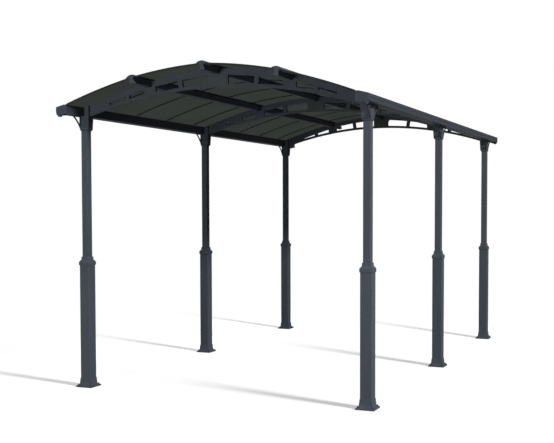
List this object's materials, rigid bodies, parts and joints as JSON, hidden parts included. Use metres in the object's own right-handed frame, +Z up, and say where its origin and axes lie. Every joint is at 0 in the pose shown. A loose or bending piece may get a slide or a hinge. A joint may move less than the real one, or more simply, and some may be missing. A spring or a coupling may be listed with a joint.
{
  "type": "motorhome carport",
  "caption": "Tall open carport for a motorhome: slender telescopic posts, arched cut-out trusses, purlins, gutters and a shallow curved roof of tinted clear panels.",
  "frame": {"origin": "centre of the plan at ground level, under the middle of the ridge", "axes": "+X to the right seen from the front, +Y to the rear along the ridge, +Z up"},
  "size_m": [3.62, 6.456, 3.56],
  "materials": {
    "frame": "anthracite powder coat, satin",
    "castings": "anthracite moulded covers, fine grain",
    "panels": "bronze-tinted clear polycarbonate, smooth"
  },
  "bodies": {
    "root": {"post_front_left": "frame", "sleeve_front_left": "frame", "foot_front_left": "castings", "post_head_front_left": "castings", "truss_front_left": "frame", "post_front_right": "frame", "sleeve_front_right": "frame", "foot_front_right": "castings", "post_head_front_right": "castings", "truss_front_right": "frame", "post_middle_left": "frame", "sleeve_middle_left": "frame", "foot_middle_left": "castings", "post_head_middle_left": "castings", "truss_middle_left": "frame", "post_middle_right": "frame", "sleeve_middle_right": "frame", "foot_middle_right": "castings", "post_head_middle_right": "castings", "truss_middle_right": "frame", "post_rear_left": "frame", "sleeve_rear_left": "frame", "foot_rear_left": "castings", "post_head_rear_left": "castings", "truss_rear_left": "frame", "post_rear_right": "frame", "sleeve_rear_right": "frame", "foot_rear_right": "castings", "post_head_rear_right": "castings", "truss_rear_right": "frame", "collars": "castings", "ridge_gussets": "frame", "purlin_ridge": "frame", "purlin_left": "frame", "purlin_right": "frame", "purlin_end_caps": "castings", "gutter_left": "frame", "gutter_right": "frame", "gutter_end_caps": "castings", "roof_inner_left": "panels", "roof_inner_right": "panels", "roof_outer_left": "panels", "roof_outer_right": "panels"}
  },
  "joints": []
}
